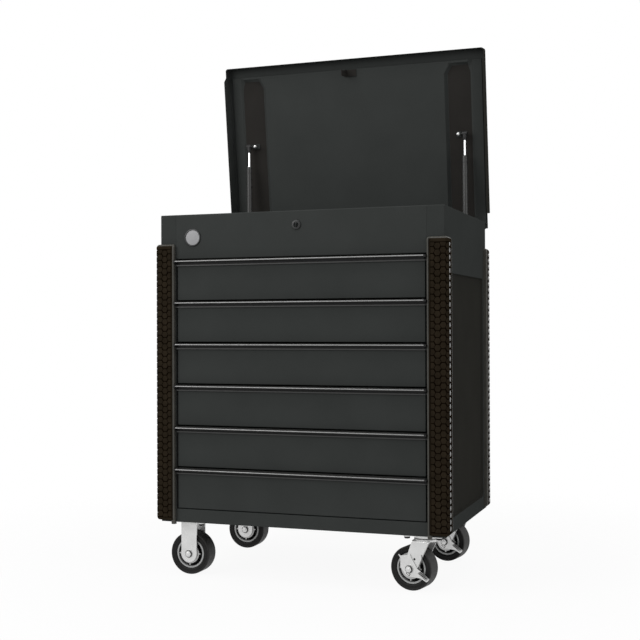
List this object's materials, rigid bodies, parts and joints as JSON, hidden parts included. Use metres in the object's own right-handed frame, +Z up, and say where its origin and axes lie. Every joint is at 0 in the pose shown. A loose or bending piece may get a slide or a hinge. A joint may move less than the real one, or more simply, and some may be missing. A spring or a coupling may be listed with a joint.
{
  "type": "tool cart",
  "caption": "Rolling tool cart with full-width drawers, a lift-up lid on gas struts over a top till, rubber corner bumpers, and rigid and braked swivel casters.",
  "frame": {"origin": "on the floor, under the middle of the cart's bounding box, from the drawer pulls to the open lid", "axes": "+X to the right seen from the front, +Y to the back, +Z up; the drawers open towards -Y"},
  "size_m": [0.904, 0.6274, 1.647],
  "materials": {
    "body_paint": "satin powder coat",
    "drawer_paint": "satin powder coat",
    "pull_metal": "satin anodised",
    "bumper_rubber": "moulded, matte",
    "slide_steel": "zinc plated",
    "caster_zinc": "bright zinc plated",
    "tyre_rubber": "matte",
    "wheel_core": "matte grey",
    "rod_chrome": "polished",
    "strut_black": "gloss black",
    "lock_metal": "satin",
    "lock_black": "gloss black"
  },
  "bodies": {
    "cabinet": {"left_side_panel": "body_paint", "right_side_panel": "body_paint", "back_panel": "body_paint", "till_front": "body_paint", "till_floor": "body_paint", "base_pan": "body_paint", "bumper_front_left": "bumper_rubber", "bumper_front_right": "bumper_rubber", "bumper_rear_left": "bumper_rubber", "bumper_rear_right": "bumper_rubber", "slide_rack_left": "slide_steel", "slide_rack_right": "slide_steel", "strut_bracket_left": "slide_steel", "strut_bracket_right": "slide_steel", "lock_housing": "lock_black", "hinge_leaf_body": "body_paint", "hinge_pin": "slide_steel", "fork_rigid_front": "caster_zinc", "fork_rigid_rear": "caster_zinc", "axle_rigid_front": "caster_zinc", "axle_rigid_rear": "caster_zinc", "plate_swivel_front": "caster_zinc", "plate_swivel_rear": "caster_zinc"},
    "lid": {"lid_shell": "body_paint", "lid_liner": "body_paint", "lid_striker": "body_paint", "lid_stud_left": "slide_steel", "lid_stud_right": "slide_steel", "hinge_leaf_lid": "body_paint"},
    "strut_tube_left": {"strut_cylinder_left": "strut_black"},
    "strut_tube_right": {"strut_cylinder_right": "strut_black"},
    "strut_slider_left": {"strut_rod_left": "rod_chrome"},
    "strut_slider_right": {"strut_rod_right": "rod_chrome"},
    "lock_core": {"lock_plug": "lock_metal"},
    "drawer_box_1": {"drawer_1": "drawer_paint", "drawer_pull_1": "pull_metal"},
    "drawer_box_2": {"drawer_2": "drawer_paint", "drawer_pull_2": "pull_metal"},
    "drawer_box_3": {"drawer_3": "drawer_paint", "drawer_pull_3": "pull_metal"},
    "drawer_box_4": {"drawer_4": "drawer_paint", "drawer_pull_4": "pull_metal"},
    "drawer_box_5": {"drawer_5": "drawer_paint", "drawer_pull_5": "pull_metal"},
    "drawer_box_6": {"drawer_6": "drawer_paint", "drawer_pull_6": "pull_metal"},
    "swivel_front": {"fork_swivel_front": "caster_zinc", "axle_swivel_front": "caster_zinc"},
    "swivel_rear": {"fork_swivel_rear": "caster_zinc", "axle_swivel_rear": "caster_zinc"},
    "brake_front": {"brake_lever_front": "caster_zinc"},
    "brake_rear": {"brake_lever_rear": "caster_zinc"},
    "wheel_rigid_front": {"tyre_rigid_front": "tyre_rubber", "wheel_core_rigid_front": "wheel_core"},
    "wheel_rigid_rear": {"tyre_rigid_rear": "tyre_rubber", "wheel_core_rigid_rear": "wheel_core"},
    "wheel_swivel_front": {"tyre_swivel_front": "tyre_rubber", "wheel_core_swivel_front": "wheel_core"},
    "wheel_swivel_rear": {"tyre_swivel_rear": "tyre_rubber", "wheel_core_swivel_rear": "wheel_core"}
  },
  "joints": [
    {"name": "lid_hinge", "type": "hinge", "parent": "cabinet", "child": "lid", "pos_m": [0, 0.27957, 1.064], "axis": [1, 0, 0], "range_deg": [0, 82.7]},
    {"name": "strut_pivot_left", "type": "hinge", "parent": "cabinet", "child": "strut_tube_left", "pos_m": [-0.38, 0.25277, 1.04], "axis": [1, 0, 0], "range_deg": [0, 82.8]},
    {"name": "strut_pivot_right", "type": "hinge", "parent": "cabinet", "child": "strut_tube_right", "pos_m": [0.38, 0.25277, 1.04], "axis": [1, 0, 0], "range_deg": [0, 82.8]},
    {"name": "strut_rod_left_slide", "type": "slide", "parent": "strut_tube_left", "child": "strut_slider_left", "axis": [0, -0.014, 0.9999], "range_m": [-0.0476, 0]},
    {"name": "strut_rod_right_slide", "type": "slide", "parent": "strut_tube_right", "child": "strut_slider_right", "axis": [0, -0.014, 0.9999], "range_m": [-0.0476, 0]},
    {"name": "lock_turn", "type": "hinge", "parent": "cabinet", "child": "lock_core", "pos_m": [0, -0.29374, 1.049], "axis": [0, -1, 0], "range_deg": [0, 90]},
    {"name": "drawer_1_slide", "type": "slide", "parent": "cabinet", "child": "drawer_box_1", "axis": [0, -1, 0], "range_m": [0, 0.4]},
    {"name": "drawer_2_slide", "type": "slide", "parent": "cabinet", "child": "drawer_box_2", "axis": [0, -1, 0], "range_m": [0, 0.4]},
    {"name": "drawer_3_slide", "type": "slide", "parent": "cabinet", "child": "drawer_box_3", "axis": [0, -1, 0], "range_m": [0, 0.4]},
    {"name": "drawer_4_slide", "type": "slide", "parent": "cabinet", "child": "drawer_box_4", "axis": [0, -1, 0], "range_m": [0, 0.4]},
    {"name": "drawer_5_slide", "type": "slide", "parent": "cabinet", "child": "drawer_box_5", "axis": [0, -1, 0], "range_m": [0, 0.4]},
    {"name": "drawer_6_slide", "type": "slide", "parent": "cabinet", "child": "drawer_box_6", "axis": [0, -1, 0], "range_m": [0, 0.4]},
    {"name": "swivel_front_turn", "type": "hinge", "parent": "cabinet", "child": "swivel_front", "pos_m": [0.367, -0.22423, 0.145], "axis": [0, 0, 1], "continuous": true},
    {"name": "swivel_rear_turn", "type": "hinge", "parent": "cabinet", "child": "swivel_rear", "pos_m": [0.367, 0.20577, 0.145], "axis": [0, 0, 1], "continuous": true},
    {"name": "brake_front_press", "type": "hinge", "parent": "swivel_front", "child": "brake_front", "pos_m": [0.32958, -0.21764, 0.0635], "axis": [0.1736, 0.9848, 0], "range_deg": [0, 15]},
    {"name": "brake_rear_press", "type": "hinge", "parent": "swivel_rear", "child": "brake_rear", "pos_m": [0.32958, 0.21236, 0.0635], "axis": [0.1736, 0.9848, 0], "range_deg": [0, 15]},
    {"name": "wheel_rigid_front_spin", "type": "hinge", "parent": "cabinet", "child": "wheel_rigid_front", "pos_m": [-0.367, -0.22423, 0.0635], "axis": [0, 1, 0], "continuous": true},
    {"name": "wheel_rigid_rear_spin", "type": "hinge", "parent": "cabinet", "child": "wheel_rigid_rear", "pos_m": [-0.367, 0.20577, 0.0635], "axis": [0, 1, 0], "continuous": true},
    {"name": "wheel_swivel_front_spin", "type": "hinge", "parent": "swivel_front", "child": "wheel_swivel_front", "pos_m": [0.32958, -0.21764, 0.0635], "axis": [0.1736, 0.9848, 0], "continuous": true},
    {"name": "wheel_swivel_rear_spin", "type": "hinge", "parent": "swivel_rear", "child": "wheel_swivel_rear", "pos_m": [0.32958, 0.21236, 0.0635], "axis": [0.1736, 0.9848, 0], "continuous": true}
  ],
  "couplings": [
    {"joint": "strut_pivot_left", "follows": "lid_hinge", "ratio": 1.0006},
    {"joint": "strut_pivot_right", "follows": "lid_hinge", "ratio": 1.0006},
    {"joint": "strut_rod_left_slide", "follows": "lid_hinge", "m_per_rad": -0.032932},
    {"joint": "strut_rod_right_slide", "follows": "lid_hinge", "m_per_rad": -0.032932}
  ]
}
